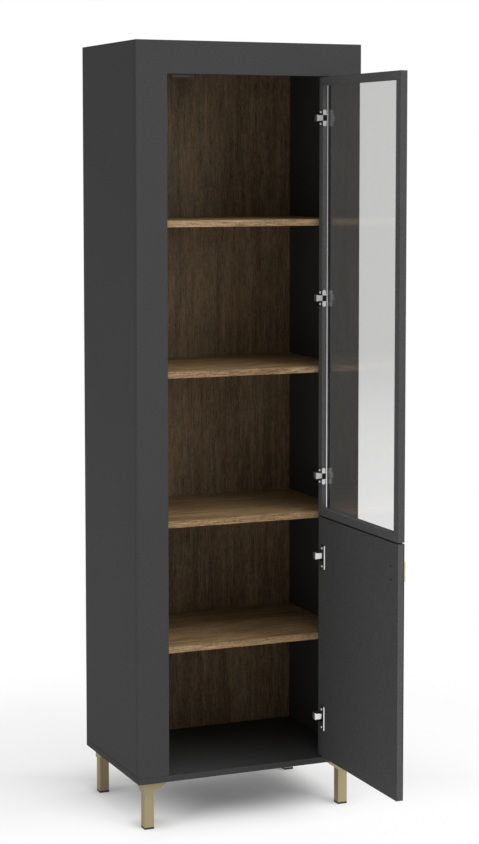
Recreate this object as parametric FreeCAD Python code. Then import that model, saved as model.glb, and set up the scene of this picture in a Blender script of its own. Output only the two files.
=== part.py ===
import FreeCAD, Part
import math
import os

# Tall display cabinet: a chipboard carcass with a framed front, four shelves, an inset glass
# door above an inset solid door, both hung on the right, and four metal legs.
# Millimetres. X is to the right, Y runs from the front to the back, Z is up from the floor.
# Inside this file Y is counted from the plane of the front boards. Both doors stand open.

# ---- carcass
width = 600.0  # over the side panels
body_height = 1820.0  # underside of the bottom panel to the top
body_depth = 396.0  # front boards to the rear of the back panel
board = 16.0  # thickness of the carcass boards
edge_round = 0.5  # rounding of the edge banding
back_thickness = 3.0
back_margin = 1.0  # the back panel stops short of the carcass edges
stile_width = 80.0
lintel_height = 80.0
leg_height = 120.0  # floor to the underside of the bottom panel

# ---- shelves, by the height of each top face above the underside of the bottom panel
shelf_lower_top = 332.0
shelf_middle_top = 1015.0
shelf_upper_top = 1385.0
shelf_fixed_above_door = 11.0  # top face of the fixed shelf above the solid door
shelf_setback = 23.5  # front edge behind the front plane
shelf_side_gap = 0.5
shelf_back_gap = 1.0
pin_radius = 2.5
pin_in_board = 9.0
pin_under_shelf = 8.0
pin_from_edge = 37.0  # from a shelf's front or back edge

# ---- doors
open_angle = 90.0  # how far both doors stand open
door_gap_side = 3.0
door_gap_top = 2.0
door_gap_bottom = 2.0
door_gap_between = 3.0
lower_door_height = 616.0
lower_door_thickness = 18.0
door_edge_round = 0.5
glass_door_thickness = 19.0
frame_width = 20.0
pane_thickness = 4.0
pane_from_front = 2.0  # outer face of the frame to the pane
pane_in_groove = 3.8
groove_clearance = 0.1
groove_end_clearance = 0.4
seal_width = 3.0  # along the hinge stile
seal_lip = 1.0  # along the other three sides
seal_thickness = 0.9
profile_wall = 1.5  # wall of the hollow frame members
key_leg = 45.0  # angle key from the corner of the frame
key_clearance = 0.1

# ---- handle
handle_length = 48.0
handle_width = 12.0
handle_bar = 6.0
handle_reach = 19.0  # outer face of the door to the front of the bar
handle_pitch = 32.0
handle_post_radius = 4.0
handle_round = 1.2
handle_from_edge = 36.0  # centre line to the free edge of the door
handle_from_end = 74.0  # centre to the upper end of the lower door
handle_screw_radius = 1.75
handle_screw_head_radius = 2.75
handle_screw_head = 2.2
handle_screw_sink = 0.4
handle_screw_in_post = 8.0
screw_clearance = 0.15
spare_hole_radius = 1.75
spare_hole_depth = 10.0

# ---- hinges
hinge_from_end = 101.0  # door end to the first hinge
axle_from_edge = 11.0  # hinge edge of the door to the pin axis
axle_from_front = 7.0  # outer face of the door to the pin axis
axle_radius = 1.2
axle_clearance = 0.05  # running fit in the arm's eye
eye_radius = 2.8
pocket_skin = 3.0  # door material left in front of a hinge pocket
cup_wall = 0.9
lug_thickness = 2.0
lug_gap = 0.5  # between the arm's neck and a lug
lug_margin = 1.0  # a lug is this much wider than the eye on each side
neck_half = 7.0  # half the height of the arm's neck
arm_half = 7.8  # half the height of the arm outside the door
arm_thickness = 2.0
arm_lift = 0.3  # pin axis to the arm's front side
arm_wall = 1.5
arm_bend_radius = 1.8
swing_clearance = 1.5  # between the turning door edge and the arm
plate_thickness = 3.0
plate_from_edge = 6.0  # inner edge of the stile to the mounting plate
plate_length = 44.0
plate_wing_half = 22.0
plate_wing_width = 16.0
plate_screw_pitch = 32.0
arm_screw_radius = 3.0
arm_screw_head_radius = 4.5
arm_screw_head = 2.5
arm_screw_from_end = 8.0

# ---- housing of the glass door's hinges, let into the narrow frame
housing_edge_wall = 2.5  # hinge edge of the door to the pocket
housing_step = 5.0  # reveal to the deep part of the pocket
housing_side_wall = 0.8
housing_wing_half = 20.6
housing_wing_thickness = 1.0
housing_wing_width = 9.5
housing_ear_half = 20.0
housing_ear_thickness = 1.2
housing_ear_proud = 0.6
housing_ear_from_edge = 3.5
housing_ear_width = 13.0
housing_screw_from_edge = 10.0
housing_screw_pitch = 29.2
housing_rise = 11.0  # reveal to the rising part of the arm
lobe_share = 0.4  # corner radius of a wing or an ear, as a share of its width

# ---- cup of the solid door's hinges
cup_diameter = 35.0
cup_edge_wall = 2.5  # hinge edge of the door to the cup
cup_block_near = 18.5  # hinge edge of the door to the screw block
cup_block_far = 39.0
cup_block_thickness = 2.8
cup_block_half = 30.5
cup_block_bridge = 4.0
cup_block_lead = 2.0  # bevel of the block's far edge
cup_block_round = 2.0
cup_screw_from_edge = 27.0
cup_screw_pitch = 46.0
cup_rise_clearance = 0.6

# ---- small screws of the hinges
hinge_screw_radius = 1.75
hinge_screw_head_radius = 2.8
hinge_screw_head = 2.4
hinge_screw_in_board = 11.0

# ---- door stop behind the lintel
stop_width = 56.0
stop_from_stile = 16.5
stop_drop = 8.0  # below the lintel
stop_height = 45.0
stop_thickness = 3.0
stop_taper = 4.0
stop_clearance = 0.3  # to the closed glass door
stop_screw_pitch = 32.0
stop_screw_up = 12.0  # lintel's lower edge to the screws

# ---- legs
leg_tube = 25.0
leg_wall = 1.5
leg_from_side = 22.0
leg_from_front = 19.0
leg_plate_thickness = 2.0
leg_wing = 38.0  # gusset length past the tube
leg_wing_height = 29.0
leg_wing_tip = 8.0
foot_height = 5.0
foot_plug = 8.0
foot_clearance = 0.2
leg_screw_radius = 2.0
leg_screw_head_radius = 3.5
leg_screw_head = 2.2
leg_screw_in_board = 12.0
leg_screw_near = 9.0  # tube to the inner screws
leg_screw_far = 23.0  # tube to the outer screws
leg_screw_side = 5.0  # inside of a gusset to the outer screws

# ---- joints between the boards
dowel_radius = 4.0
dowel_clearance = 0.05
dowel_short = 10.0  # length in the thin direction of a board
dowel_long = 20.0
cam_radius = 7.5
cam_depth = 12.5
cam_clearance = 0.1
cam_from_edge = 34.0  # end of a panel to the cam's centre
cam_bolt_radius = 3.0
cam_bolt_thread_radius = 2.5
cam_bolt_in_board = 11.0
cam_bolt_head_radius = 3.5
cam_bolt_head = 5.0
cam_from_front = 54.0
cam_from_back = 43.0
confirmat_radius = 3.2
confirmat_head_radius = 4.8
confirmat_head = 4.0
confirmat_length = 50.0
back_screw_radius = 1.5
back_screw_head_radius = 2.8
back_screw_head = 1.2
back_screw_in_board = 13.0
back_screw_rows = 7
crown_share = 0.45  # rounding of a screw head, as a share of its height
recess_width = 0.9  # arms of the cross recess in a screw head
recess_span_share = 0.66  # reach of those arms, as a share of the head's radius
recess_depth_share = 0.6  # depth of the recess, as a share of the head's height
hex_radius = 2.3  # corner radius of the hexagon socket in the long screws
hex_depth = 2.6
end_clearance = 0.5  # at the blind end of each drilled hole
past = 1.0  # how far a cutter runs past the face that it opens

# ---- places of the fasteners, as shares of the length that they are spread over
side_foot_dowels = (0.25, 0.75)
stile_foot_dowels = (0.3, 0.7)
stile_dowels = (0.1, 0.37, 0.63, 0.9)
lintel_dowels = (-0.6, 0.0, 0.6)
base_screw_places = (0.12, 0.5, 0.88)
back_screw_places = (-0.5, 0.0, 0.5)

# ---- worked out from the above
side_x = width / 2
inner_x = side_x - board
opening_x = side_x - stile_width
base_z = leg_height
floor_z = base_z + board
top_z = base_z + body_height
lintel_z = top_z - lintel_height
carcass_back = body_depth - back_thickness
door_x = opening_x - door_gap_side
lower_door_bottom = floor_z + door_gap_bottom
lower_door_top = lower_door_bottom + lower_door_height
shelf_fixed_z = lower_door_top + shelf_fixed_above_door
glass_door_bottom = lower_door_top + door_gap_between
glass_door_top = lintel_z - door_gap_top
axle_x = door_x - axle_from_edge
door_reach = 2 * door_x - axle_from_edge - axle_from_front
front_shift = (door_reach - body_depth) / 2
lower_hinge_z = [lower_door_bottom + hinge_from_end, lower_door_top - hinge_from_end]
glass_hinge_ends = [glass_door_bottom + hinge_from_end, glass_door_top - hinge_from_end]
glass_hinge_z = [glass_hinge_ends[0], sum(glass_hinge_ends) / 2, glass_hinge_ends[1]]
chamber_front = pane_from_front + pane_thickness + groove_clearance + profile_wall
chamber_thickness = glass_door_thickness - profile_wall - chamber_front
lug_in = neck_half + lug_gap
lug_out = lug_in + lug_thickness

VX = FreeCAD.Vector(1, 0, 0)
VY = FreeCAD.Vector(0, 1, 0)
VZ = FreeCAD.Vector(0, 0, 1)
nodes = {}
bores = {}


def point(x, y, z):
    return FreeCAD.Vector(x, y, z)


def block(x0, x1, y0, y1, z0, z1):
    """Box between two values on each axis, given in either order."""
    low = point(min(x0, x1), min(y0, y1), min(z0, z1))
    return Part.makeBox(abs(x1 - x0), abs(y1 - y0), abs(z1 - z0), low)


def rod(start, direction, length, radius):
    return Part.makeCylinder(radius, length, start, direction)


def prism(corners, height):
    """Solid with the flat outline of these points, drawn out along a vector."""
    outline = Part.makePolygon(corners + [corners[0]])
    return Part.Face(outline).extrude(height)


def long_edges(solid, axis):
    """Straight edges of a solid that run along an axis."""
    found = []
    for edge in solid.Edges:
        run = edge.Vertexes[-1].Point - edge.Vertexes[0].Point
        if run.Length > 0 and abs(run.normalize().dot(axis)) > 0.999:
            found.append(edge)
    return found


def panel(x0, x1, y0, y1, z0, z1, flush=()):
    """Board with its banded edges lightly rounded, except at the ends named by their X,
    where it meets the next board without a seam."""
    solid = block(x0, x1, y0, y1, z0, z1)
    rounded = []
    for edge in solid.Edges:
        ends = [vertex.X for vertex in edge.Vertexes]
        if not any(min(ends) == max(ends) == x for x in flush):
            rounded.append(edge)
    return solid.makeFillet(edge_round, rounded)


def drill(names, tool):
    for name in names:
        bores.setdefault(name, []).append(tool)


def crossed(solid, crown, direction, span, depth):
    """Cut a cross recess into a head, from its crown inwards."""
    half = recess_width / 2
    recess = block(-span, span, -half, half, -past, depth)
    recess = recess.fuse(block(-half, half, -span, span, -past, depth))
    recess.Placement = FreeCAD.Placement(crown, FreeCAD.Rotation(VZ, direction))
    return solid.cut(recess)


def screw_head(crown, direction, radius, height):
    """Flat-bottomed head with a rounded rim and a cross recess."""
    head = rod(crown, direction, height, radius)
    rim = []
    for edge in head.Edges:
        if edge.Closed and (edge.CenterOfMass - crown).Length < radius / 2:
            rim.append(edge)
    head = head.makeFillet(height * crown_share, rim[:1])
    return crossed(head, crown, direction, radius * recess_span_share, height * recess_depth_share)


def screw(seat, direction, radius, length, head_radius, head, names):
    """Round-headed screw. Its head lies before the seat and its shank runs along the direction."""
    shank = rod(seat, direction, length, radius)
    cap = screw_head(seat - direction * head, direction, head_radius, head)
    drill(names, rod(seat - direction * past, direction, length + past + end_clearance, radius))
    return cap.fuse(shank).removeSplitter()


def dowel(face, direction, behind, ahead, names):
    """Fluted beech dowel across a joint face."""
    start = face - direction * behind
    hole_start = start - direction * end_clearance
    hole_length = behind + ahead + 2 * end_clearance
    drill(names, rod(hole_start, direction, hole_length, dowel_radius + dowel_clearance))
    return rod(start, direction, behind + ahead, dowel_radius)


def mirrored(solid):
    return solid.mirror(point(0, 0, 0), VX)


def opened(solid):
    """Turn a piece of a closed door about the pin axis to where the door stands."""
    turned = solid.copy()
    turned.rotate(point(axle_x, axle_from_front, 0), VZ, open_angle)
    return turned


# ---- carcass boards
def carcass():
    side = panel(inner_x, side_x, board, carcass_back, floor_z, top_z)
    stile = panel(opening_x, side_x, 0, board, floor_z, top_z, [opening_x])
    nodes["side_panel_right"] = side
    nodes["side_panel_left"] = mirrored(side)
    nodes["front_stile_right"] = stile
    nodes["front_stile_left"] = mirrored(stile)
    nodes["front_lintel"] = panel(
        -opening_x, opening_x, 0, board, lintel_z, top_z, [-opening_x, opening_x]
    )
    nodes["top_panel"] = panel(-inner_x, inner_x, board, carcass_back, top_z - board, top_z)
    nodes["bottom_panel"] = panel(-side_x, side_x, 0, carcass_back, base_z, floor_z)
    back_x = side_x - back_margin
    nodes["back_panel"] = block(
        -back_x, back_x, carcass_back, body_depth, base_z + back_margin, top_z - back_margin
    )


# ---- shelves: three lie on pins, one is fixed behind the gap between the doors
def loose_shelf(name, top):
    shelf_x = inner_x - shelf_side_gap
    back = carcass_back - shelf_back_gap
    shelf_top = base_z + top
    nodes[name] = panel(-shelf_x, shelf_x, shelf_setback, back, shelf_top - board, shelf_top)
    pins = []
    for y in (shelf_setback + pin_from_edge, back - pin_from_edge):
        centre = point(inner_x - pin_under_shelf, y, shelf_top - board - pin_radius)
        pin = rod(centre, VX, pin_under_shelf + pin_in_board, pin_radius)
        hole = rod(centre, VX, pin_under_shelf + pin_in_board + end_clearance, pin_radius)
        drill(["side_panel_right"], hole)
        drill(["side_panel_left"], mirrored(hole))
        pins += [pin, mirrored(pin)]
    return pins


def shelves():
    pins = []
    for name, top in (
        ("shelf_lower", shelf_lower_top),
        ("shelf_middle", shelf_middle_top),
        ("shelf_upper", shelf_upper_top),
    ):
        pins += loose_shelf(name, top)
    nodes["shelf_pins"] = Part.makeCompound(pins)
    nodes["shelf_fixed"] = panel(
        -inner_x, inner_x, shelf_setback, carcass_back, shelf_fixed_z - board, shelf_fixed_z
    )


# ---- fittings that hold the boards together
def cam_joint(y, middle_z, panel_name):
    """Eccentric cam in the underside of a panel and its bolt in the right side panel."""
    cam_x = inner_x - cam_from_edge
    under = middle_z - board / 2
    hole = rod(point(cam_x, y, under), VZ, cam_depth + end_clearance, cam_radius + cam_clearance)
    disc = rod(point(cam_x, y, under), VZ, cam_depth, cam_radius)
    slot_radius = cam_bolt_head_radius + 2 * cam_clearance
    slot_start = point(cam_x - cam_bolt_head / 2 - cam_clearance, y, middle_z)
    slot = rod(slot_start, VX, cam_radius + cam_bolt_head, slot_radius)
    head_start = point(cam_x - cam_bolt_head / 2, y, middle_z)
    head = rod(head_start, VX, cam_bolt_head, cam_bolt_head_radius)
    shank = rod(head_start, VX, inner_x - head_start.x, cam_bolt_radius)
    thread_end = inner_x + cam_bolt_in_board
    thread = rod(head_start, VX, thread_end - head_start.x, cam_bolt_thread_radius)
    channel = rod(slot_start, VX, inner_x - slot_start.x + past, slot_radius)
    pilot_start = point(inner_x - past, y, middle_z)
    pilot_length = cam_bolt_in_board + past + end_clearance
    pilot = rod(pilot_start, VX, pilot_length, cam_bolt_thread_radius)
    drill([panel_name], hole)
    drill([panel_name], channel)
    drill([panel_name], mirrored(hole))
    drill([panel_name], mirrored(channel))
    drill(["side_panel_right"], pilot)
    drill(["side_panel_left"], mirrored(pilot))
    disc = crossed(disc, point(cam_x, y, under), VZ, cam_radius * recess_span_share, recess_width)
    return disc.cut(slot), head.fuse([shank, thread]).removeSplitter()


def cam_fittings():
    discs = []
    bolts = []
    for panel_name, middle_z in (
        ("top_panel", top_z - board / 2),
        ("shelf_fixed", shelf_fixed_z - board / 2),
    ):
        for y in (board + cam_from_front, carcass_back - cam_from_back):
            disc, bolt = cam_joint(y, middle_z, panel_name)
            discs += [disc, mirrored(disc)]
            bolts += [bolt, mirrored(bolt)]
    nodes["cam_discs"] = Part.makeCompound(discs)
    nodes["cam_bolts"] = Part.makeCompound(bolts)


def dowels():
    edge_x = side_x - board / 2
    depth = carcass_back - board
    short = dowel_short
    long = dowel_long
    pegs = []
    for side, tag in ((1, "right"), (-1, "left")):
        side_name = "side_panel_" + tag
        stile_name = "front_stile_" + tag
        out = VX * side
        for share in side_foot_dowels:
            foot = point(side * edge_x, board + share * depth, floor_z)
            pegs.append(dowel(foot, VZ, short, long, ["bottom_panel", side_name]))
        for share in stile_foot_dowels:
            x = side * (opening_x + share * (inner_x - opening_x))
            foot = point(x, board / 2, floor_z)
            pegs.append(dowel(foot, VZ, short, long, ["bottom_panel", stile_name]))
        for share in stile_dowels:
            z = floor_z + share * (top_z - floor_z)
            face = point(side * edge_x, board, z)
            pegs.append(dowel(face, VY, short, long, [stile_name, side_name]))
        end = point(side * opening_x, board / 2, lintel_z + lintel_height / 3)
        pegs.append(dowel(end, out, long, long, ["front_lintel", stile_name]))
        for panel_name, z in (
            ("top_panel", top_z - board / 2),
            ("shelf_fixed", shelf_fixed_z - board / 2),
        ):
            end = point(side * inner_x, board + depth / 2, z)
            pegs.append(dowel(end, out, long, short, [panel_name, side_name]))
    for share in lintel_dowels:
        face = point(share * opening_x, board, top_z - board / 2)
        pegs.append(dowel(face, VY, short, long, ["front_lintel", "top_panel"]))
    nodes["panel_dowels"] = Part.makeCompound(pegs)


def hexagon(foot):
    """Socket in the head of a long screw."""
    corners = []
    for i in range(6):
        angle = math.radians(60 * i)
        corners.append(foot + point(math.cos(angle), math.sin(angle), 0) * hex_radius)
    return prism(corners, VZ * hex_depth)


def base_screws():
    """Long screws up through the bottom panel into the side panels, heads let in flush."""
    screws = []
    for side, tag in ((1, "right"), (-1, "left")):
        for share in base_screw_places:
            y = board + share * (carcass_back - board)
            foot = point(side * (side_x - board / 2), y, base_z)
            names = ["bottom_panel", "side_panel_" + tag]
            drill(["bottom_panel"], rod(foot, VZ, confirmat_head, confirmat_head_radius))
            drill(names, rod(foot, VZ, confirmat_length + end_clearance, confirmat_radius))
            head = rod(foot, VZ, confirmat_head, confirmat_head_radius)
            shank = rod(foot, VZ, confirmat_length, confirmat_radius)
            screws.append(head.fuse(shank).removeSplitter().cut(hexagon(foot)))
    nodes["base_screws"] = Part.makeCompound(screws)


def back_screw(x, z, name):
    head_y = body_depth - back_screw_head
    seat = point(x, head_y, z)
    drill(["back_panel"], rod(seat, VY, back_screw_head + past, back_screw_head_radius))
    length = head_y - carcass_back + back_screw_in_board
    mouth = point(x, body_depth, z)
    head = screw_head(mouth, -VY, back_screw_head_radius, back_screw_head)
    hole_length = length + back_screw_head + end_clearance
    drill(["back_panel", name], rod(mouth, -VY, hole_length, back_screw_radius))
    return head.fuse(rod(seat, -VY, length, back_screw_radius)).removeSplitter()


def back_screws():
    screws = []
    edge_x = side_x - board / 2
    rise = (top_z - floor_z) / back_screw_rows
    for row in range(back_screw_rows):
        z = floor_z + (row + 0.5) * rise
        screws.append(back_screw(edge_x, z, "side_panel_right"))
        screws.append(back_screw(-edge_x, z, "side_panel_left"))
    for name, z in (
        ("top_panel", top_z - board / 2),
        ("bottom_panel", base_z + board / 2),
        ("shelf_fixed", shelf_fixed_z - board / 2),
    ):
        for share in back_screw_places:
            screws.append(back_screw(share * inner_x, z, name))
    nodes["back_screws"] = Part.makeCompound(screws)


# ---- stop that the glass door closes against
def door_stop():
    near = stop_from_stile - opening_x
    far = near + stop_width
    face = glass_door_thickness + stop_clearance
    back = face + stop_thickness
    low = lintel_z - stop_drop
    tongue_top = lintel_z + stop_clearance
    body = block(near, far, board, back, tongue_top, low + stop_height)
    tongue = prism(
        [
            point(near + stop_taper, face, low),
            point(far - stop_taper, face, low),
            point(far, face, tongue_top),
            point(near, face, tongue_top),
        ],
        VY * stop_thickness,
    )
    nodes["door_stop"] = body.fuse(tongue).removeSplitter()
    middle = (near + far) / 2
    length = back - board + hinge_screw_in_board
    screws = []
    for x in (middle - stop_screw_pitch / 2, middle + stop_screw_pitch / 2):
        seat = point(x, back, lintel_z + stop_screw_up)
        names = ["door_stop", "front_lintel"]
        screws.append(
            screw(
                seat, -VY, hinge_screw_radius, length,
                hinge_screw_head_radius, hinge_screw_head, names,
            )
        )
    nodes["door_stop_screws"] = Part.makeCompound(screws)


# ---- legs, drawn for the front left corner with X and Y counted inwards from the corner
def leg_solid():
    u0 = leg_from_side
    v0 = leg_from_front
    u1 = u0 + leg_tube
    v1 = v0 + leg_tube
    skin = leg_plate_thickness
    plate_z = base_z - skin
    wing_z = base_z - leg_wing_height
    tube = block(u0, u1, v0, v1, foot_height, plate_z)
    tube = tube.makeFillet(leg_wall / 2, long_edges(tube, VZ))
    bore = block(
        u0 + leg_wall, u1 - leg_wall, v0 + leg_wall, v1 - leg_wall, foot_height, plate_z
    )
    u2 = u1 + leg_wing
    v2 = v1 + leg_wing
    plate = prism(
        [
            point(u0 - skin, v0 - skin, plate_z),
            point(u2, v0 - skin, plate_z),
            point(u2, v0 + leg_wing_tip, plate_z),
            point(u0 + leg_wing_tip, v2, plate_z),
            point(u0 - skin, v2, plate_z),
        ],
        VZ * skin,
    )
    front = prism(
        [
            point(u0 - skin, v0 - skin, wing_z),
            point(u1, v0 - skin, wing_z),
            point(u2, v0 - skin, plate_z),
            point(u0 - skin, v0 - skin, plate_z),
        ],
        VY * skin,
    )
    side = prism(
        [
            point(u0 - skin, v0 - skin, wing_z),
            point(u0 - skin, v1, wing_z),
            point(u0 - skin, v2, plate_z),
            point(u0 - skin, v0 - skin, plate_z),
        ],
        VX * skin,
    )
    return tube.cut(bore).fuse([plate, front, side]).removeSplitter()


def foot_solid():
    u0 = leg_from_side
    v0 = leg_from_front
    gap = leg_wall + foot_clearance
    pad = block(u0, u0 + leg_tube, v0, v0 + leg_tube, 0, foot_height)
    plug = block(
        u0 + gap, u0 + leg_tube - gap, v0 + gap, v0 + leg_tube - gap,
        foot_height, foot_height + foot_plug,
    )
    return pad.fuse(plug)


def leg_screw_places():
    u1 = leg_from_side + leg_tube
    v1 = leg_from_front + leg_tube
    return [
        (u1 + leg_screw_near, v1 - leg_screw_near),
        (u1 + leg_screw_far, leg_from_front + leg_screw_side),
        (u1 - leg_screw_near, v1 + leg_screw_near),
        (leg_from_side + leg_screw_side, v1 + leg_screw_far),
    ]


def to_corner(solid, right, back):
    """Move a piece drawn for the front left corner to one of the four corners."""
    placed = solid.copy()
    if back:
        placed = placed.mirror(point(0, body_depth / 2, 0), VY)
    placed.translate(point(-side_x, 0, 0))
    return mirrored(placed) if right else placed


def legs():
    leg = leg_solid()
    foot = foot_solid()
    plate_z = base_z - leg_plate_thickness
    length = leg_plate_thickness + leg_screw_in_board
    feet = []
    screws = []
    for right, back, corner in (
        (False, False, "front_left"),
        (True, False, "front_right"),
        (False, True, "back_left"),
        (True, True, "back_right"),
    ):
        name = "leg_" + corner
        nodes[name] = to_corner(leg, right, back)
        nodes["foot_pad_" + corner] = to_corner(foot, right, back)
        for u, v in leg_screw_places():
            corner_screw = screw(
                point(u, v, plate_z), VZ, leg_screw_radius, length,
                leg_screw_head_radius, leg_screw_head, [],
            )
            hole = rod(point(u, v, plate_z), VZ, length + end_clearance, leg_screw_radius)
            drill(["bottom_panel", name], to_corner(hole, right, back))
            screws.append(to_corner(corner_screw, right, back))
    nodes["leg_screws"] = Part.makeCompound(screws)


# ---- glass door, drawn closed
def frame_member(name, corners, chamber, inside, axis):
    """Mitred hollow frame member with its long edges eased and a groove for the pane."""
    bar = prism(corners, VY * glass_door_thickness)
    bar = bar.makeFillet(door_edge_round, long_edges(bar, axis))
    bar = bar.cut(prism(chamber, VY * chamber_thickness))
    y0 = pane_from_front - groove_clearance
    y1 = pane_from_front + pane_thickness + groove_clearance
    depth = pane_in_groove + groove_end_clearance
    x0, x1, z0, z1 = inside
    groove = block(x0 - depth, x1 + depth, y0, y1, z0 - depth, z1 + depth)
    nodes[name] = bar.cut(groove)


def glass_door():
    x = door_x
    z0 = glass_door_bottom
    z1 = glass_door_top
    w = frame_width
    inside = (-x + w, x - w, z0 + w, z1 - w)
    outer = frame_corners(0, 0)
    inner = frame_corners(w, 0)
    chamber_outer = frame_corners(profile_wall, chamber_front)
    chamber_inner = frame_corners(w - profile_wall, chamber_front)
    names = ["frame_bottom_rail", "frame_hinge_stile", "frame_top_rail", "frame_free_stile"]
    for i, name in enumerate(names):
        j = (i + 1) % 4
        axis = VX if i % 2 == 0 else VZ
        outline = [outer[i], outer[j], inner[j], inner[i]]
        chamber = [chamber_outer[i], chamber_outer[j], chamber_inner[j], chamber_inner[i]]
        frame_member(name, outline, chamber, inside, axis)

    edge = w - pane_in_groove
    y0 = pane_from_front
    y1 = y0 + pane_thickness
    nodes["glass_pane"] = block(-x + edge, x - edge, y0, y1, z0 + edge, z1 - edge)

    rim = block(inside[0], inside[1], y1, y1 + seal_thickness, inside[2], inside[3])
    hole = block(
        inside[0] + seal_lip, inside[1] - seal_width, y1, y1 + seal_thickness,
        inside[2] + seal_lip, inside[3] - seal_lip,
    )
    nodes["glass_seal"] = rim.cut(hole)

    keys = []
    for side in (-1, 1):
        keys.append(corner_key(side, z0, 1))
        keys.append(corner_key(side, z1, -1))
    nodes["frame_corner_keys"] = Part.makeCompound(keys)


def frame_corners(inset, y):
    """Corners of the closed glass door, moved in from its edges, at one depth."""
    x = door_x - inset
    z0 = glass_door_bottom + inset
    z1 = glass_door_top - inset
    return [point(-x, y, z0), point(x, y, z0), point(x, y, z1), point(-x, y, z1)]


def corner_key(side, z_end, up):
    """Angle key that fills the chambers of two members at a mitre."""
    near = profile_wall + key_clearance
    far = frame_width - near
    y0 = chamber_front + key_clearance
    y1 = chamber_front + chamber_thickness - key_clearance
    x_end = side * door_x
    along_x = block(
        x_end - side * near, x_end - side * key_leg, y0, y1, z_end + up * near, z_end + up * far
    )
    along_z = block(
        x_end - side * near, x_end - side * far, y0, y1, z_end + up * near, z_end + up * key_leg
    )
    return along_x.fuse(along_z).removeSplitter()


# ---- solid door, drawn closed
def lower_door():
    leaf = block(-door_x, door_x, 0, lower_door_thickness, lower_door_bottom, lower_door_top)
    nodes["lower_door_panel"] = leaf.makeFillet(door_edge_round, leaf.Edges)


def handle():
    x = handle_from_edge - door_x
    z = lower_door_top - handle_from_end
    half = handle_width / 2
    bar_y = handle_bar - handle_reach
    grip = block(
        x - half, x + half, -handle_reach, bar_y, z - handle_length / 2, z + handle_length / 2
    )
    pull = grip.makeFillet(handle_round, grip.Edges)
    inner_y = lower_door_thickness
    sink = handle_screw_sink + handle_screw_head
    screws = []
    for centre_z in (z - handle_pitch / 2, z + handle_pitch / 2):
        post = rod(point(x, bar_y, centre_z), VY, -bar_y, handle_post_radius)
        pull = pull.fuse(post)
        head_y = inner_y - sink
        seat = point(x, head_y, centre_z)
        length = head_y + handle_screw_in_post
        shank = rod(seat, -VY, length, handle_screw_radius)
        crown = seat + VY * handle_screw_head
        head = screw_head(crown, -VY, handle_screw_head_radius, handle_screw_head)
        screws.append(head.fuse(shank).removeSplitter())
        sunk = rod(seat, VY, sink + past, handle_screw_head_radius + screw_clearance)
        through = rod(seat, -VY, head_y + past, handle_screw_radius + screw_clearance)
        tapped = rod(seat, -VY, length + end_clearance, handle_screw_radius)
        drill(["lower_door_panel"], sunk)
        drill(["lower_door_panel"], through)
        drill(["door_handle"], tapped)
    nodes["door_handle"] = pull.removeSplitter()
    nodes["handle_screws"] = Part.makeCompound(screws)
    low_z = lower_door_bottom + handle_from_end
    for centre_z in (low_z - handle_pitch / 2, low_z + handle_pitch / 2):
        mouth = point(x, inner_y + past, centre_z)
        drill(["lower_door_panel"], rod(mouth, -VY, spare_hole_depth + past, spare_hole_radius))


# ---- hinges: the cup turns with the door, the arm and its plate stay on the right stile
def run_front():
    """Front side of the arm where it passes behind the turning door edge."""
    glass_corner = math.hypot(axle_from_edge, glass_door_thickness - axle_from_front)
    block_corner = math.hypot(
        cup_block_near - axle_from_edge,
        lower_door_thickness - axle_from_front + cup_block_thickness,
    )
    return axle_from_front + max(glass_corner, block_corner) + swing_clearance


def hinge_arm(z, rise):
    """Bent arm from the pin, out of the door pocket, round its edge and along the stile.
    The rise is the distance from the pin axis to the far side of the bend."""
    y0 = axle_from_front + arm_lift
    y1 = y0 + arm_thickness
    far = axle_x - rise
    run0 = run_front()
    run1 = run0 + arm_thickness
    foot = opening_x + plate_from_edge
    end = foot + plate_length
    seat = board + plate_thickness
    eye = rod(point(axle_x, axle_from_front, z - neck_half), VZ, 2 * neck_half, eye_radius)
    neck = block(far + arm_thickness, axle_x, y0, y1, z - neck_half, z + neck_half)
    lift = block(far, far + arm_thickness, y0, run1, z - arm_half, z + arm_half)
    run = block(far, end, run0, run1, z - arm_half, z + arm_half)
    walls = []
    for side in (-1, 1):
        inner_z = z + side * (arm_half - arm_wall)
        outer_z = z + side * arm_half
        walls.append(block(foot, end, seat, run0, inner_z, outer_z))
    arm = eye.fuse([neck, lift, run] + walls).removeSplitter()
    bends = []
    for edge in long_edges(arm, VZ):
        mid = edge.CenterOfMass
        if abs(mid.x - far) < 0.01 and (abs(mid.y - y0) < 0.01 or abs(mid.y - run1) < 0.01):
            bends.append(edge)
    arm = arm.makeFillet(arm_bend_radius, bends)
    eye_start = point(axle_x, axle_from_front, z - neck_half - past)
    return arm.cut(rod(eye_start, VZ, 2 * (neck_half + past), axle_radius + axle_clearance))


def hinge_plate(z):
    x0 = opening_x + plate_from_edge
    x1 = x0 + plate_length
    middle = (x0 + x1) / 2
    y1 = board + plate_thickness
    half = plate_wing_width / 2
    pad = block(x0, x1, board, y1, z - arm_half, z + arm_half)
    wings = block(
        middle - half, middle + half, board, y1, z - plate_wing_half, z + plate_wing_half
    )
    return pad.fuse(wings).removeSplitter()


def plate_screws(z, plate_name, arm_name):
    x0 = opening_x + plate_from_edge
    middle = x0 + plate_length / 2
    seat_y = board + plate_thickness
    length = plate_thickness + hinge_screw_in_board
    screws = []
    for dz in (-plate_screw_pitch / 2, plate_screw_pitch / 2):
        screws.append(
            screw(
                point(middle, seat_y, z + dz), -VY, hinge_screw_radius, length,
                hinge_screw_head_radius, hinge_screw_head, [plate_name, "front_stile_right"],
            )
        )
    top = point(x0 + plate_length - arm_screw_from_end, run_front() + arm_thickness, z)
    reach = top.y - board - end_clearance
    screws.append(
        screw(
            top, -VY, arm_screw_radius, reach,
            arm_screw_head_radius, arm_screw_head, [plate_name, arm_name],
        )
    )
    return screws


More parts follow.
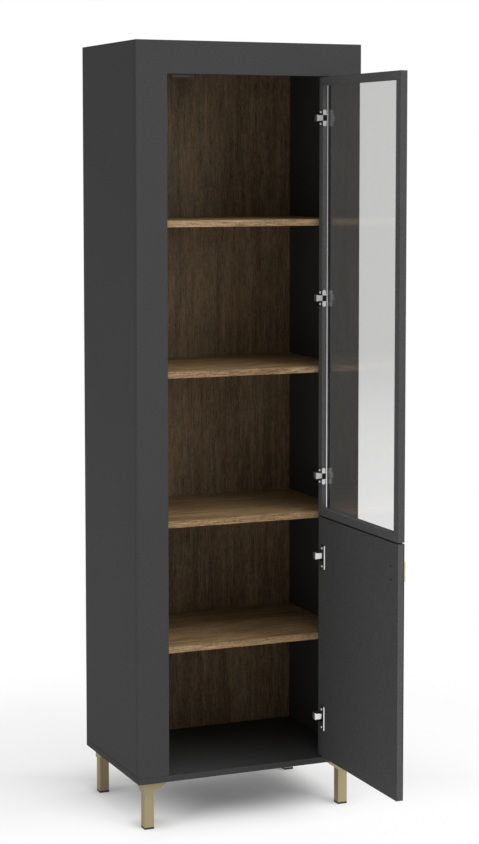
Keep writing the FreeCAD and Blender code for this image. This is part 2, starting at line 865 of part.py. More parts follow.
def hinge_pin(z):
    return rod(point(axle_x, axle_from_front, z - lug_out), VZ, 2 * lug_out, axle_radius)


def pin_hole(z):
    start = point(axle_x, axle_from_front, z - lug_out - past)
    return rod(start, VZ, 2 * (lug_out + past), axle_radius)


def housing(z):
    """Hinge housing of the glass door: a slotted body in the frame, wings on the reveal and
    ears on the inside face."""
    reveal = door_x - frame_width
    step = reveal + housing_step
    edge = door_x - housing_edge_wall
    inner = glass_door_thickness
    shallow = pane_from_front + pane_thickness + seal_thickness + groove_clearance
    deep = block(step, edge, pocket_skin, inner, z - lug_out, z + lug_out)
    front = block(reveal, step, shallow, inner, z - lug_out, z + lug_out)
    slot_edge = edge - housing_side_wall
    slot_inner = inner + housing_ear_proud + past
    slot_deep = block(
        step + housing_side_wall, slot_edge,
        pocket_skin + housing_side_wall, slot_inner, z - lug_in, z + lug_in,
    )
    slot_front = block(
        reveal - housing_wing_thickness - past, slot_edge, shallow, slot_inner,
        z - lug_in, z + lug_in,
    )
    wing_y = inner - housing_wing_width
    wing = block(
        reveal - housing_wing_thickness, reveal, wing_y, inner,
        z - housing_wing_half, z + housing_wing_half,
    )
    wing = wing.makeFillet(housing_wing_width * lobe_share, long_edges(wing, VX))
    ear_x1 = door_x - housing_ear_from_edge
    ear_x0 = ear_x1 - housing_ear_width
    ear_y1 = inner + housing_ear_proud
    ear = block(
        ear_x0, ear_x1, ear_y1 - housing_ear_thickness, ear_y1,
        z - housing_ear_half, z + housing_ear_half,
    )
    ear = ear.makeFillet(housing_ear_width * lobe_share, long_edges(ear, VY))
    body = deep.fuse([front, wing, ear]).cut([slot_deep, slot_front, pin_hole(z)])
    pocket = [deep, front, ear]
    return body.removeSplitter(), pocket


def cup(z):
    """Round cup of the solid door's hinge with its raised screw block."""
    radius = cup_diameter / 2
    centre_x = door_x - cup_edge_wall - radius
    inner = lower_door_thickness
    base = point(centre_x, pocket_skin, z)
    hole = rod(base, VY, inner - pocket_skin, radius)
    bowl = rod(base + VY * cup_wall, VY, inner, radius - cup_wall)
    x_near = door_x - cup_block_near
    x_far = door_x - cup_block_far
    top = inner + cup_block_thickness
    pad = block(x_far, x_near, inner, top, z - cup_block_half, z + cup_block_half)
    pad = pad.makeFillet(cup_block_round, long_edges(pad, VY))
    end_z = z - cup_block_half - past
    bevel = prism(
        [
            point(x_far - past, top + past, end_z),
            point(x_far + cup_block_lead + past, top + past, end_z),
            point(x_far - past, top - cup_block_lead - past, end_z),
        ],
        VZ * 2 * (cup_block_half + past),
    )
    notch = block(
        x_far + cup_block_bridge, x_near + past, inner - past, top + past,
        z - lug_out - lug_gap, z + lug_out + lug_gap,
    )
    lug_half = eye_radius + lug_margin
    lugs = []
    for side in (-1, 1):
        lugs.append(
            block(
                axle_x - lug_half, axle_x + lug_half, pocket_skin + cup_wall / 2, inner,
                z + side * lug_in, z + side * lug_out,
            )
        )
    body = hole.cut(bowl).fuse([pad.cut([notch, bevel])] + lugs).cut(pin_hole(z))
    return body.removeSplitter(), [hole]


def door_screw(x, seat_y, z, proud, names):
    return screw(
        point(x, seat_y, z), -VY, hinge_screw_radius, proud + hinge_screw_in_board,
        hinge_screw_head_radius, hinge_screw_head, names,
    )


def glass_hinges():
    pins = []
    screws = []
    fixed_screws = []
    rise = frame_width - axle_from_edge + housing_rise + arm_thickness
    for z, tag in zip(glass_hinge_z, ("bottom", "middle", "top")):
        cup_name = "glass_hinge_housing_" + tag
        arm_name = "glass_hinge_arm_" + tag
        plate_name = "glass_hinge_plate_" + tag
        body, pocket = housing(z)
        nodes[cup_name] = body
        for tool in pocket:
            drill(["frame_hinge_stile"], tool)
        nodes[arm_name] = hinge_arm(z, rise)
        nodes[plate_name] = hinge_plate(z)
        fixed_screws += plate_screws(z, plate_name, arm_name)
        pins.append(hinge_pin(z))
        x = door_x - housing_screw_from_edge
        seat = glass_door_thickness + housing_ear_proud
        for dz in (-housing_screw_pitch / 2, housing_screw_pitch / 2):
            names = [cup_name, "frame_hinge_stile"]
            screws.append(door_screw(x, seat, z + dz, housing_ear_proud, names))
    nodes["glass_hinge_pins"] = Part.makeCompound(pins)
    nodes["glass_hinge_screws"] = Part.makeCompound(screws)
    return fixed_screws


def lower_hinges():
    pins = []
    screws = []
    fixed_screws = []
    cup_radius = cup_diameter / 2
    chord = math.sqrt((cup_radius - cup_wall) ** 2 - arm_half**2)
    rise = cup_edge_wall + cup_radius - axle_from_edge + chord - cup_rise_clearance
    for z, tag in zip(lower_hinge_z, ("bottom", "top")):
        cup_name = "lower_hinge_cup_" + tag
        arm_name = "lower_hinge_arm_" + tag
        plate_name = "lower_hinge_plate_" + tag
        body, pocket = cup(z)
        nodes[cup_name] = body
        for tool in pocket:
            drill(["lower_door_panel"], tool)
        nodes[arm_name] = hinge_arm(z, rise)
        nodes[plate_name] = hinge_plate(z)
        fixed_screws += plate_screws(z, plate_name, arm_name)
        pins.append(hinge_pin(z))
        x = door_x - cup_screw_from_edge
        seat = lower_door_thickness + cup_block_thickness
        for dz in (-cup_screw_pitch / 2, cup_screw_pitch / 2):
            names = [cup_name, "lower_door_panel"]
            screws.append(door_screw(x, seat, z + dz, cup_block_thickness, names))
    nodes["lower_hinge_pins"] = Part.makeCompound(pins)
    nodes["lower_hinge_screws"] = Part.makeCompound(screws)
    return fixed_screws


DOOR_NODES = (
    "frame_", "glass_pane", "glass_seal", "lower_door_panel", "door_handle", "handle_screws",
    "glass_hinge_housing", "glass_hinge_pins", "glass_hinge_screws",
    "lower_hinge_cup", "lower_hinge_pins", "lower_hinge_screws",
)

carcass()
shelves()
cam_fittings()
dowels()
base_screws()
back_screws()
door_stop()
legs()
glass_door()
lower_door()
handle()
nodes["hinge_plate_screws"] = Part.makeCompound(glass_hinges() + lower_hinges())

for name, tools in bores.items():
    nodes[name] = nodes[name].cut(tools)

os.makedirs("parts", exist_ok=True)
for name, shape in nodes.items():
    placed = opened(shape) if name.startswith(DOOR_NODES) else shape.copy()
    placed.translate(point(0, front_shift, 0))
    placed.exportStep("parts/" + name + ".step")
    print(name, len(placed.Solids), round(placed.Volume), placed.isValid())
print(len(nodes), "nodes")
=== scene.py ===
import math

import bpy
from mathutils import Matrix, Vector


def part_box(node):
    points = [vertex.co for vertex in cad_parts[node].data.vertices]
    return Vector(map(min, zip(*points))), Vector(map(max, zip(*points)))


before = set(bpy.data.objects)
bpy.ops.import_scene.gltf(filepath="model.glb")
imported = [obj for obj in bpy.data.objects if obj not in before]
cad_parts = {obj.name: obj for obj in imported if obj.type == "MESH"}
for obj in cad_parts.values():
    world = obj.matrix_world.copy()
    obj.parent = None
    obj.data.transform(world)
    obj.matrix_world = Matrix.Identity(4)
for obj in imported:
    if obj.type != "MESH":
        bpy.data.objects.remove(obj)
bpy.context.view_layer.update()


# ---------------------------------------------------------------- studio
# A camera with a long lens looks at the bookcase from its front left, from eye height. All
# around is a white world, which glass and metal show darker.
scene = bpy.context.scene
scene.view_settings.view_transform = "Standard"

eye = Vector((-2.04725, -4.71529, 1.64270))
eye_yaw = 0.4057  # radians to the right
eye_pitch = 0.0821  # and down
focal_length = 89.19
lens_shift_x, lens_shift_y = -0.0058, -0.1018
camera = bpy.data.objects.new("camera", bpy.data.cameras.new("camera"))
camera.location = eye
camera.rotation_euler = (math.pi / 2 - eye_pitch, 0, -eye_yaw)
camera.data.lens = focal_length
camera.data.shift_x = lens_shift_x
camera.data.shift_y = lens_shift_y
scene.collection.objects.link(camera)
scene.camera = camera


class Wire:
    """An output socket of a finish. Sums that are written on it become Math nodes."""

    def __init__(self, finish, socket):
        self.finish = finish
        self.socket = socket

    def maths(self, operation, *values):
        return self.finish.add("Math", {"operation": operation}, dict(enumerate(values)))

    def __add__(self, other):
        return self.maths("ADD", self, other)

    def __sub__(self, other):
        return self.maths("SUBTRACT", self, other)

    def __rsub__(self, other):
        return self.maths("SUBTRACT", other, self)

    def __mul__(self, other):
        return self.maths("MULTIPLY", self, other)

    __radd__ = __add__
    __rmul__ = __mul__

    def least(self, other):
        return self.maths("MINIMUM", self, other)

    def most(self, other):
        return self.maths("MAXIMUM", self, other)

    def over(self, edge, width):
        """0 below the edge, 1 beyond edge + width, with a smooth rise."""
        ends = {"From Min": edge, "From Max": edge + width}
        return self.finish.add(
            "MapRange", {"interpolation_type": "SMOOTHSTEP"}, {"Value": self, **ends}
        )


class Finish:
    """The nodes of one material."""

    def __init__(self, name, tree=None):
        if tree is None:
            self.material = bpy.data.materials.new(name)
            self.material.use_nodes = True
            tree = self.material.node_tree
        self.tree = tree
        self.tree.nodes.clear()

    def add(self, kind, settings=None, inputs=None, out=0):
        """Any node: its settings first, then the values or wires of its sockets.
        Returns the wire of one output, or of several when out names them."""
        node = self.tree.nodes.new("ShaderNode" + kind)
        for name, value in (settings or {}).items():
            if name == "stops":
                self.set_stops(node.color_ramp.elements, value)
            else:
                setattr(node, name, value)
        for key, value in (inputs or {}).items():
            if isinstance(value, Wire):
                self.tree.links.new(value.socket, node.inputs[key])
            else:
                node.inputs[key].default_value = value
        if isinstance(out, tuple):
            return [Wire(self, node.outputs[one]) for one in out]
        return Wire(self, node.outputs[out]) if len(node.outputs) else node

    def set_stops(self, elements, stops):
        while len(elements) < len(stops):
            elements.new(0.5)
        for element, (place, color) in zip(elements, stops):
            element.position = place
            element.color = color

    def mix(self, share, first, second):
        """One colour turning into another."""
        kinds = {"data_type": "RGBA"}
        return self.add("Mix", kinds, {0: share, 6: first, 7: second}, out=2)

    def places(self, stretch=(1.0, 1.0, 1.0)):
        """Points on the piece, in metres, with each axis drawn out or pressed together."""
        points = self.add("TexCoord", out="Object")
        return self.add("VectorMath", {"operation": "MULTIPLY"}, {0: points, 1: stretch})

    def noise(self, places, scale, detail=2.0, roughness=0.5, distortion=0.0):
        values = {
            "Vector": places, "Scale": scale, "Detail": detail,
            "Roughness": roughness, "Distortion": distortion,
        }
        return self.add("TexNoise", None, values)

    def bump(self, height, distance, strength=1.0):
        """Relief of a surface, with its full depth in metres."""
        values = {"Height": height, "Distance": distance, "Strength": strength}
        return self.add("Bump", None, values)

    def surface(self, **values):
        """The shader of an opaque surface, wired to the output. Returns the material."""
        inputs = {}
        for name, value in values.items():
            inputs[name.replace("_", " ").title().replace("Ior", "IOR")] = value
        return self.show(self.add("BsdfPrincipled", None, inputs))

    def show(self, shader):
        self.add("OutputMaterial", None, {"Surface": shader})
        return self.material


def rgb(red, green, blue):
    return (red, green, blue, 1.0)


def grey(value):
    return (value, value, value, 1.0)


def darker(color, share):
    return tuple(share * value for value in color[:3]) + (1.0,)


def dress(material, *names):
    """Give CAD nodes their finish."""
    for name in names:
        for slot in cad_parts[name].material_slots:
            slot.material = material


ambient = 0.47  # of the backdrop as a light
far_tone = 0.74  # of the backdrop where the glass shows it
mirror_tone = 0.34  # of the backdrop in metal, which the floor outshines from below
world = bpy.data.worlds.new("studio")
world.use_nodes = True
scene.world = world
sky = Finish("studio", world.node_tree)
seen, mirrored, through = sky.add(
    "LightPath", out=("Is Camera Ray", "Is Glossy Ray", "Is Transmission Ray")
)
mirrored = (mirrored - through).most(0.0)
strength = (
    ambient + seen * (1.0 - ambient)
    + through * (far_tone - ambient) + mirrored * (mirror_tone - ambient)
)
backdrop = sky.add("Background", None, {"Color": grey(1.0), "Strength": strength})
sky.add("OutputWorld", None, {"Surface": backdrop})


# ---------------------------------------------------------------- floor
# A wide matt floor under the feet. Near the bookcase it shows light and soft shadow, and
# further out plain white takes over, which meets the white world without an edge.
floor_reach = 60.0  # from the middle to each side
floor_tone = 0.92
side_inset, side_fade = 0.055, 0.46  # within the footprint, where the whole shadow ends
end_inset, end_fade = 0.116, 0.32  # the same at its front and back
shade_shift = Vector((0.217, 0.076, 0))  # how far the shadow is set right and back
shade_skew = 0.244  # how far it turns left, per metre of depth
back_share = 0.52  # of plain white that is added behind the piece
front_share = 0.88  # and in front of it
front_start, front_fade = -0.03, 0.54  # where the one gives way to the other
shade_lift = 0.083  # of plain white within the footprint
pad_shift = Vector((0.02, 0.024, 0))  # how far the shadow at each foot lies beside and behind it
pad_reach, pad_fade = 0.014, 0.06  # around that spot
pad_share = 0.5  # of the white that gives way to it
lit_reach, lit_fade = 0.5, 1.3  # how far from the middle light and shadow show
pale_reach, pale_fade = 4.0, 10.0  # where the floor falls off to the world's tone, in glass
mirror_reach, mirror_fade = 3.0, 16.0  # and in metal
floor_mesh = bpy.data.meshes.new("floor")
floor_corners = [
    (x * floor_reach, y * floor_reach, 0) for x, y in ((-1, -1), (1, -1), (1, 1), (-1, 1))
]
floor_mesh.from_pydata(floor_corners, [], [(0, 1, 2, 3)])
floor = bpy.data.objects.new("floor", floor_mesh)
scene.collection.objects.link(floor)
ground = Finish("floor")
seen, mirrored, through = ground.add(
    "LightPath", out=("Is Camera Ray", "Is Glossy Ray", "Is Transmission Ray")
)
away = ground.add("VectorMath", {"operation": "LENGTH"}, {0: ground.places()}, out="Value")
shown = mirrored.most(through)
body_low, body_high = [Vector(end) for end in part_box("bottom_panel")]
shade_middle = (body_low + body_high) / 2 + shade_shift
half_width, half_depth = (body_high.x - body_low.x) / 2, (body_high.y - body_low.y) / 2
row_x, row_y = ground.add("SeparateXYZ", None, {0: ground.places()}, out=("X", "Y"))
along = row_y - shade_middle.y
across = row_x - shade_middle.x + along * shade_skew
past_sides = across.maths("ABSOLUTE", across).over(half_width - side_inset, side_fade)
past_ends = along.maths("ABSOLUTE", along).over(half_depth - end_inset, end_fade)
beside = past_sides.most(past_ends)
behind = row_y.over(front_start, front_fade)
pale_share = front_share - behind * (front_share - back_share)
close_share = beside * pale_share + shade_lift
leg_corners = ("front_left", "front_right", "back_left", "back_right")
for corner in leg_corners:
    pad_low, pad_high = [Vector(end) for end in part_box("foot_pad_" + corner)]
    spot = (pad_low + pad_high) / 2 + pad_shift
    spot.z = 0
    ends = {0: ground.places(), 1: spot}
    to_spot = ground.add("VectorMath", {"operation": "DISTANCE"}, ends, out="Value")
    close_share = close_share * (1.0 - pad_share + to_spot.over(pad_reach, pad_fade) * pad_share)
white_share = (seen + shown) * close_share.most(away.over(lit_reach, lit_fade))
white_tone = (
    1.0 - through * away.over(pale_reach, pale_fade) * (1.0 - far_tone)
    - (mirrored - through).most(0.0) * away.over(mirror_reach, mirror_fade) * (1.0 - mirror_tone)
)
lit = ground.add("BsdfDiffuse", None, {"Color": grey(floor_tone)})
white = ground.add("Emission", None, {"Color": white_tone})
shading = ground.add("MixShader", None, {0: white_share, 1: lit, 2: white})
floor_mesh.materials.append(ground.show(shading))


# ---------------------------------------------------------------- lights
# A broad soft light overhead, a little to the front and right, and a large round panel that
# stands in front on the same side.
def aimed(lamp, place, target):
    lamp_object = bpy.data.objects.new(lamp.name, lamp)
    lamp_object.location = place
    aim = Vector(target) - Vector(place)
    lamp_object.rotation_euler = aim.to_track_quat("-Z", "Y").to_euler()
    scene.collection.objects.link(lamp_object)


overhead_place = (1.1, -1.2, 3.4)
overhead = bpy.data.lights.new("light_overhead", "SUN")
overhead.angle = math.radians(60)
overhead.energy = 1.9
aimed(overhead, overhead_place, (0, 0, 0))

panel_place = (2.0, -4.2, 2.4)
middle_height = 1.0
panel = bpy.data.lights.new("light_front", "AREA")
panel.shape = "DISK"
panel.size = 2.2
panel.energy = 42
aimed(panel, panel_place, (0, 0, middle_height))


# ---------------------------------------------------------------- graphite boards
# Chipboard with a matt graphite laminate, cut to size and banded on its edges. The side
# panels, the top, the bottom and the three front boards are all sawn from this board.
carcass_tone = 0.055
joint_shade_start, joint_shade_fade = 0.0005, 0.0012  # of the dark line at banded edges: the joint, and painted seam shade


def graphite(name, box, laminate=carcass_tone, relief_depth=0.00006, accents=None):
    """Matt laminate: a fine uneven tone, a pressed grain, and a dark line along the edges of a
    box, the joint of the banding and painted shade in the seams between boards. Accents may
    change the colour at some places."""
    finish = Finish(name)
    low, high = Vector(box[0]), Vector(box[1])
    points = finish.places()
    offset = finish.add(
        "VectorMath", {"operation": "SUBTRACT"}, {0: points, 1: (low + high) / 2}
    )
    away = finish.add("VectorMath", {"operation": "ABSOLUTE"}, {0: offset})
    inward = finish.add("VectorMath", {"operation": "SUBTRACT"}, {0: (high - low) / 2, 1: away})
    x, y, z = finish.add("SeparateXYZ", None, {0: inward}, out=("X", "Y", "Z"))
    to_edge = x + y + z - x.least(y).least(z) - x.most(y).most(z)
    # Painted shade: each board's edges are darkened as the seams between boards, with the
    # banding's joint.
    joint_and_seam_shade = 1.0 - to_edge.over(joint_shade_start, joint_shade_fade)
    cloud = finish.noise(points, 7.0, 3.0)
    grain = finish.noise(points, 300.0, 3.0, 0.75)
    speck = finish.noise(points, 1500.0, 2.0, 0.6)
    shade = 0.22 + cloud * 0.10 + grain * 1.46 - joint_and_seam_shade * 0.40
    color = finish.mix(shade * 0.5, grey(0.0), grey(2 * laminate))
    if accents:
        color = accents(finish, points, color)
    return finish.surface(
        base_color=color, roughness=0.56 + grain * 0.14,
        normal=finish.bump(speck + grain, relief_depth, strength=0.6), specular_ior_level=0.08,
    )


front_boards = ("front_stile_left", "front_stile_right", "front_lintel")
bare_front = Vector((0, 0.005, 0))  # keeps the dark line of joint and painted seam shade off their front face
portal = (Vector(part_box("front_stile_left")[0]) - bare_front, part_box("front_stile_right")[1])
dress(graphite("graphite_portal", portal), *front_boards)
for board in ("side_panel_left", "side_panel_right", "top_panel", "bottom_panel"):
    dress(graphite("graphite_" + board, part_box(board)), board)


# ---------------------------------------------------------------- shelves
# Chipboard with a pressed oak decor, grain along the shelf. Three of them lie on steel pins,
# and the fixed one behind the gap between the doors is held by cams and dowels.
decor_depth, decor_fade = 0.0004, 0.0002  # the decor stops this far before a bare rear


def oak(name, along, light, mid, dark, fineness=1.0, length=1.0, rear=None):
    """Printed oak: soft growth bands, streaks, long fibres and short dark pores along the
    grain. From a rear plane on, the board is bare brown hardboard."""
    finish = Finish(name)

    def drawn_out(across, lengthwise):
        stretch = [across * fineness] * 3
        stretch[along] = lengthwise * fineness / length
        return finish.places(tuple(stretch))

    flow = finish.noise(drawn_out(9.0, 1.1), 1.0, 3.0, 0.55, 0.5)
    bands = finish.noise(drawn_out(36.0, 4.0), 1.0, 2.0, 0.55, 0.4)
    streaks = finish.noise(drawn_out(110.0, 5.0), 1.0, 3.0, 0.6, 0.3)
    fibres = finish.noise(drawn_out(300.0, 26.0), 1.0, 2.0, 0.6)
    specks = finish.noise(drawn_out(430.0, 150.0), 1.0, 2.0, 0.6)
    pores = specks.over(0.56, 0.14)
    tone = (
        flow * 0.40 + bands * 0.85 + streaks * 0.75 + fibres * 1.35 + specks * 1.50 - 1.925
    )
    color = finish.add(
        "ValToRGB", {"stops": [(0.12, dark), (0.50, mid), (0.88, light)]}, {"Fac": tone}
    )
    color = finish.mix(pores * 0.42, color, dark)
    warmth = finish.noise(drawn_out(120.0, 9.0), 1.0, 2.0).over(0.42, 0.16)
    tint = finish.mix(warmth, rgb(0.96, 1.01, 1.03), rgb(1.07, 0.99, 0.90))
    color = finish.add("VectorMath", {"operation": "MULTIPLY"}, {0: color, 1: tint})
    if rear is not None:
        y = finish.add("SeparateXYZ", None, {0: finish.places()}, out="Y")
        felted = finish.noise(finish.places(), 260.0, 4.0, 0.7)
        hardboard = finish.mix(felted, rgb(0.15, 0.095, 0.055), rgb(0.27, 0.18, 0.11))
        color = finish.mix(y.over(rear - decor_depth, decor_fade), color, hardboard)
    relief = finish.bump(fibres * 0.5 - pores, distance=0.00012, strength=0.5)
    return finish.surface(
        base_color=color, roughness=0.66 - fibres * 0.14, normal=relief, specular_ior_level=0.3
    )


shelf_finish = oak(
    "oak_decor_shelf", 0,
    rgb(0.46, 0.308, 0.162), rgb(0.285, 0.185, 0.095), rgb(0.13, 0.083, 0.041),
)
dress(shelf_finish, "shelf_lower", "shelf_fixed", "shelf_middle", "shelf_upper")


# ---------------------------------------------------------------- back panel
# Thin hardboard screwed to the rear edges. Its front is printed with the same oak, with the
# grain upright, and its rear is bare.
back_finish = oak(
    "oak_decor_back", 2,
    rgb(0.280, 0.190, 0.108), rgb(0.172, 0.113, 0.062), rgb(0.080, 0.051, 0.027),
    fineness=1.1, length=1.3, rear=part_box("back_panel")[1][1],
)
dress(back_finish, "back_panel")


# ---------------------------------------------------------------- fittings of the boards
# Zinc-plated screws, cast cams with their bolts, steel shelf pins and fluted beech dowels. They
# sit in drilled holes and hold the boards together, mostly out of sight.
grain_depth = 0.00001


def metal(name, color, roughness, bare=1.0, slope=0.0):
    """Plated or cast metal with a faint drawn grain and uneven gloss. A slope along X makes
    a domed face of a flat one."""
    finish = Finish(name)
    points = finish.places()
    grain = finish.noise(points, 300.0, 3.0, 0.6)
    x = finish.add("SeparateXYZ", None, {0: points}, out="X")
    return finish.surface(
        base_color=finish.mix(grain, darker(color, 0.82), color),
        roughness=roughness - 0.08 + grain * 0.16, metallic=bare,
        normal=finish.bump(x * slope + grain * grain_depth, distance=1.0),
    )


zinc_finish = metal("zinc_plate", rgb(0.60, 0.60, 0.57), 0.34)
pin_finish = metal("nickel_pin", rgb(0.70, 0.69, 0.66), 0.28)
cast_finish = metal("cast_zinc", rgb(0.50, 0.50, 0.49), 0.45)
dress(zinc_finish, "leg_screws", "base_screws", "back_screws", "cam_bolts")
dress(pin_finish, "shelf_pins")
dress(cast_finish, "cam_discs")
beech_finish = oak(
    "beech", 2, rgb(0.66, 0.47, 0.29), rgb(0.58, 0.39, 0.23), rgb(0.42, 0.27, 0.15), fineness=2.0
)
dress(beech_finish, "panel_dowels")


# ---------------------------------------------------------------- legs
# Square steel tube with a gusseted plate at its top, powder coated in a pale gold. Screws hold
# each plate under the bottom board, and a dark plastic pad closes the tube below.
def gold_coat(name, color, bare):
    """Satin metallic powder coat with a fine sparkle."""
    finish = Finish(name)
    points = finish.places()
    flake = finish.noise(points, 2200.0, 2.0, 0.8)
    cloud = finish.noise(points, 40.0, 2.0)
    return finish.surface(
        base_color=finish.mix(flake, darker(color, 0.80), color),
        roughness=0.42 + cloud * 0.10, metallic=bare, specular_ior_level=0.1,
        normal=finish.bump(flake, distance=0.00003, strength=0.4),
    )


def moulded(name, tone):
    """Dark plastic straight from the mould, lightly grained."""
    finish = Finish(name)
    grain = finish.noise(finish.places(), 1800.0, 2.0, 0.6)
    return finish.surface(
        base_color=finish.mix(grain, grey(tone * 0.8), grey(tone * 1.2)),
        roughness=0.45 + grain * 0.15, normal=finish.bump(grain, distance=0.00005, strength=0.6),
    )


gold_finish = gold_coat("pale_gold_coat", rgb(0.45, 0.380, 0.224), bare=0.12)
pad_finish = moulded("dark_plastic", 0.022)
dress(gold_finish, *["leg_" + corner for corner in leg_corners])
dress(pad_finish, *["foot_pad_" + corner for corner in leg_corners])


# ---------------------------------------------------------------- solid lower door
# The same laminated board, 18 mm thick, banded on its edges and bored for its hinge cups. Two
# black screws through it hold a short gold bar pull.
leaf_tone = 0.083
leaf_inner, leaf_outer = [end[0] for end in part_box("lower_door_panel")]
line_start, line_end = 0.0026, 0.0004  # of the dark line, from the outer face
border_fade = 0.0004  # over which one finish gives way to the next
rim_fade = 0.0003  # and the same at an outer edge


def banded_corner(finish, points, color):
    """The outer corners, where the edge banding meets the face laminate in a dark line."""
    x = finish.add("SeparateXYZ", None, {0: points}, out="X")
    line = x.over(leaf_outer - line_start, border_fade) - x.over(leaf_outer - line_end, rim_fade)
    return finish.mix(line, color, grey(0.014))


lower_door_finish = graphite(
    "graphite_lower_door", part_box("lower_door_panel"), leaf_tone, accents=banded_corner
)
dress(lower_door_finish, "lower_door_panel")
dress(gold_coat("handle_gold_coat", rgb(0.84, 0.74, 0.48), bare=0.1), "door_handle")
black_screw_finish = metal("black_zinc", grey(0.02), 0.4)
dress(black_screw_finish, "handle_screws")


# ---------------------------------------------------------------- glass door
# A narrow hollow frame, mitred and keyed at its corners, coated like the boards, around
# a 4 mm pane. The pane sits in a groove, and a soft strip beds it on the inside.
frame_tone = 0.071
inner_face_light_gain = 1.42  # painted light: the tone on the inner face is raised by this much
skin = 0.0002  # depth of that painted lightening, and the fade into the groove's painted shade
groove_shade_inset = 0.0126  # from the inner face to the painted shade in the groove
groove_shade_rim = 0.0004  # from that shade to the outer face
groove_shade_depth = 0.024  # from the hinge edge to its far side
groove_shade_margin = 0.003  # from its ends to the frame's edges
frame_low = Vector(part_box("frame_free_stile")[0])
frame_high = Vector(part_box("frame_hinge_stile")[1])


def groove_shade_and_inner_light(finish, points, color):
    """Painted shade: a black strip in the groove around the pane, on the hinge side. Painted
    light:
    the inner face of the frame is made lighter."""
    x, y, z = finish.add("SeparateXYZ", None, {0: points}, out=("X", "Y", "Z"))
    in_groove = (
        x.over(frame_low.x + groove_shade_inset, skin) - x.over(frame_high.x - groove_shade_rim, rim_fade)
    )
    inside = (
        y.over(frame_high.y - groove_shade_depth, border_fade)
        - y.over(frame_high.y - groove_shade_margin, border_fade)
    )
    heights = (
        z.over(frame_low.z + groove_shade_margin, border_fade)
        - z.over(frame_high.z - groove_shade_margin, border_fade)
    )
    # Painted shade in the groove on the hinge side, then painted light on the inner face.
    color = finish.mix(in_groove.least(inside).least(heights), color, grey(0.004))
    gain = inner_face_light_gain - x.over(frame_low.x + skin, skin) * (inner_face_light_gain - 1.0)
    return finish.add("VectorMath", {"operation": "SCALE"}, {0: color, "Scale": gain})


dress(
    graphite("graphite_profile", (frame_low, frame_high), frame_tone, 0.00004, groove_shade_and_inner_light),
    "frame_hinge_stile", "frame_free_stile", "frame_top_rail", "frame_bottom_rail",
)
dress(cast_finish, "frame_corner_keys")

glass_tint = rgb(0.905, 0.91, 0.905)
glass = Finish("clear_glass")
shadow_ray, diffuse_ray = glass.add("LightPath", out=("Is Shadow Ray", "Is Diffuse Ray"))
pane = glass.add(
    "BsdfPrincipled", None,
    {"Base Color": glass_tint, "Roughness": 0.0, "Transmission Weight": 1.0, "IOR": 1.5},
)
clear = glass.add("BsdfTransparent", None, {"Color": glass_tint})
pane_share = shadow_ray.most(diffuse_ray)
dress(glass.show(glass.add("MixShader", None, {0: pane_share, 1: pane, 2: clear})), "glass_pane")

strip_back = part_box("glass_seal")[1][1]
strip_width, strip_fade = 0.004, 0.0005  # of its pale side along the hinge stile, a painted highlight
strip_crown = 0.6
strip = Finish("glazing_strip")
strip_points = strip.places()
strip_x, strip_y = strip.add("SeparateXYZ", None, {0: strip_points}, out=("X", "Y"))
# Painted highlight: the strip is pale and metallic only along the hinge stile, dark elsewhere.
painted_highlight_side = strip_y.over(strip_back - strip_width, strip_fade)
strip_grain = strip.noise(strip_points, 700.0, 2.0)
pale = strip.mix(strip_grain, grey(0.86), grey(0.94))
dark = strip.mix(strip_grain, grey(0.070), grey(0.086))
strip_finish = strip.surface(
    base_color=strip.mix(painted_highlight_side, dark, pale), roughness=0.45 - painted_highlight_side * 0.2,
    metallic=painted_highlight_side, normal=strip.bump(strip_x * strip_crown + strip_y, distance=1.0),
)
dress(strip_finish, "glass_seal")


# ---------------------------------------------------------------- hinges
# Concealed hinges with nickel-plated arms bent round the door's edge, on plates screwed to the
# back of the right stile. Their cups and housings are bright at their front edges and painted
# dark behind them as shade, the cups' flanges with a painted brown reflection of the interior.
# Painted shade: near black for the hollows of the hinges and what lies in their shade.
painted_shade_black = rgb(0.012, 0.011, 0.010)
crown = 0.45  # slope of the bright faces


def pressed(
    name, border, bright, bright_bare, painted_dark, painted_dark_bare, slope, reach=1.0, groove=0.0, lean=0.0
):
    """Pressed steel that is bright up to a border along Y; behind it the given dark colour
    paints shade, on cups a dark reflection, with painted shade in a groove between the two. What
    lies beyond the reach along X is painted black as shade. A slope along X crowns its front
    faces, and one along Y its sides."""
    finish = Finish(name)
    points = finish.places()
    grain = finish.noise(points, 260.0, 3.0, 0.6)
    x, y = finish.add("SeparateXYZ", None, {0: points}, out=("X", "Y"))
    behind = y.over(border, border_fade)
    shaded = (behind - y.over(border + groove, border_fade)).most(x.over(reach, border_fade))
    front = finish.mix(grain, darker(bright, 0.88), bright)
    color = finish.mix(shaded, finish.mix(behind, front, painted_dark), painted_shade_black)
    return finish.surface(
        base_color=color, roughness=0.32 + behind * 0.10 + grain * 0.12,
        metallic=bright_bare + behind * (painted_dark_bare - bright_bare),
        normal=finish.bump(x * slope + y * lean + grain * grain_depth, distance=1.0),
    )


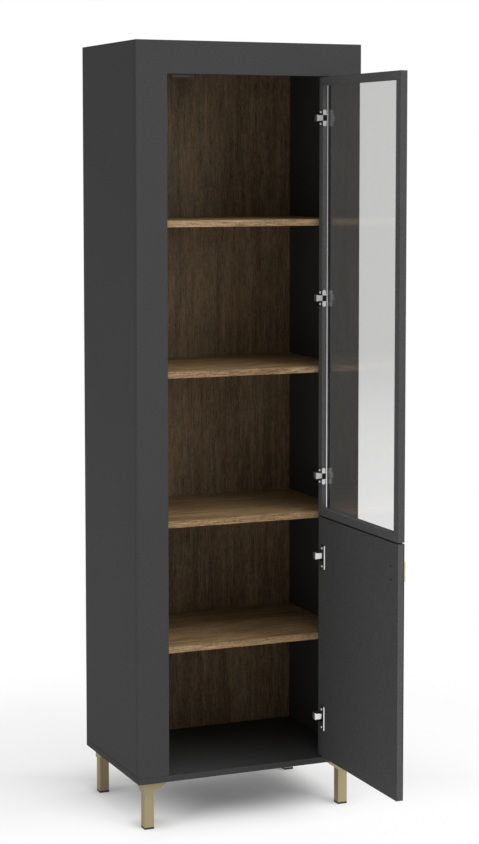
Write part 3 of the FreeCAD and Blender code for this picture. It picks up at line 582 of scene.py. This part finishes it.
lobe_depth = 0.0013  # of the bright front of a housing
# Behind its bright front, each housing is painted black as the shade of its slot.
for tag in ("bottom", "middle", "top"):
    housing = "glass_hinge_housing_" + tag
    lobe_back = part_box(housing)[0][1] + lobe_depth
    lobe_finish = pressed(
        "lobes_" + tag, lobe_back, bright=grey(0.80), bright_bare=0.9,
        painted_dark=painted_shade_black, painted_dark_bare=0.4, slope=crown,
    )
    dress(lobe_finish, housing)

lip_depth = 0.0021  # of the bright front of a cup
# Width of the painted shade between a cup's bright lip and its flange.
lip_groove = 0.005
lip_overhang = 0.0008  # in front of the door's inner face
# Beyond this reach a cup is painted black as the shade of the gap at the door.
lip_reach = leaf_inner - lip_overhang
# Painted reflection: the cups' flanges take the brown of the interior they face.
cup_painted_reflection = rgb(0.24, 0.20, 0.155)
for tag in ("bottom", "top"):
    cup = "lower_hinge_cup_" + tag
    lip_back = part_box(cup)[0][1] + lip_depth
    cup_finish = pressed(
        "cup_" + tag, lip_back, bright=grey(0.95), bright_bare=1.0,
        painted_dark=cup_painted_reflection, painted_dark_bare=0.9, slope=0.0, reach=lip_reach, groove=lip_groove,
    )
    dress(cup_finish, cup)

# Painted shade on the arms behind their bright necks, where they go into the housings.
arm_painted_shade = rgb(0.10, 0.08, 0.06)
neck_depth = 0.0075  # of the bright neck of an arm
neck_lean = 1.0
# Beyond these reaches the necks are painted black as shade inside the housings and cups.
glass_neck_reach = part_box("frame_hinge_stile")[0][0] + 0.0048
lower_neck_reach = leaf_inner + 0.004
for kind, bright, bright_bare, reach in (
    ("glass", grey(0.62), 0.6, glass_neck_reach),
    ("lower", grey(0.95), 1.0, lower_neck_reach),
):
    for arm in [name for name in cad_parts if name.startswith(kind + "_hinge_arm")]:
        neck_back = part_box(arm)[0][1] + neck_depth
        arm_finish = pressed(
            arm + "_plate", neck_back, bright, bright_bare,
            painted_dark=arm_painted_shade, painted_dark_bare=1.0, slope=crown, reach=reach, lean=neck_lean,
        )
        dress(arm_finish, arm)

nickel_finish = metal("nickel_plate", rgb(0.66, 0.65, 0.62), 0.30)
plates = [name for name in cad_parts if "hinge_plate" in name]
dress(nickel_finish, *plates)
dress(nickel_finish, "glass_hinge_pins", "lower_hinge_pins")
# Bright plated screws; their near-white, mostly diffuse heads are a painted highlight for their
# glints.
screw_glint_finish = metal("bright_zinc_painted_glint", grey(0.97), 0.30, bare=0.25, slope=crown)
dress(screw_glint_finish, "glass_hinge_screws", "lower_hinge_screws")


# ---------------------------------------------------------------- door stop
# A small dark plastic tongue, moulded in one piece. Two screws hold it behind the lintel, and
# the glass door closes against it.
dress(pad_finish, "door_stop")
dress(zinc_finish, "door_stop_screws")
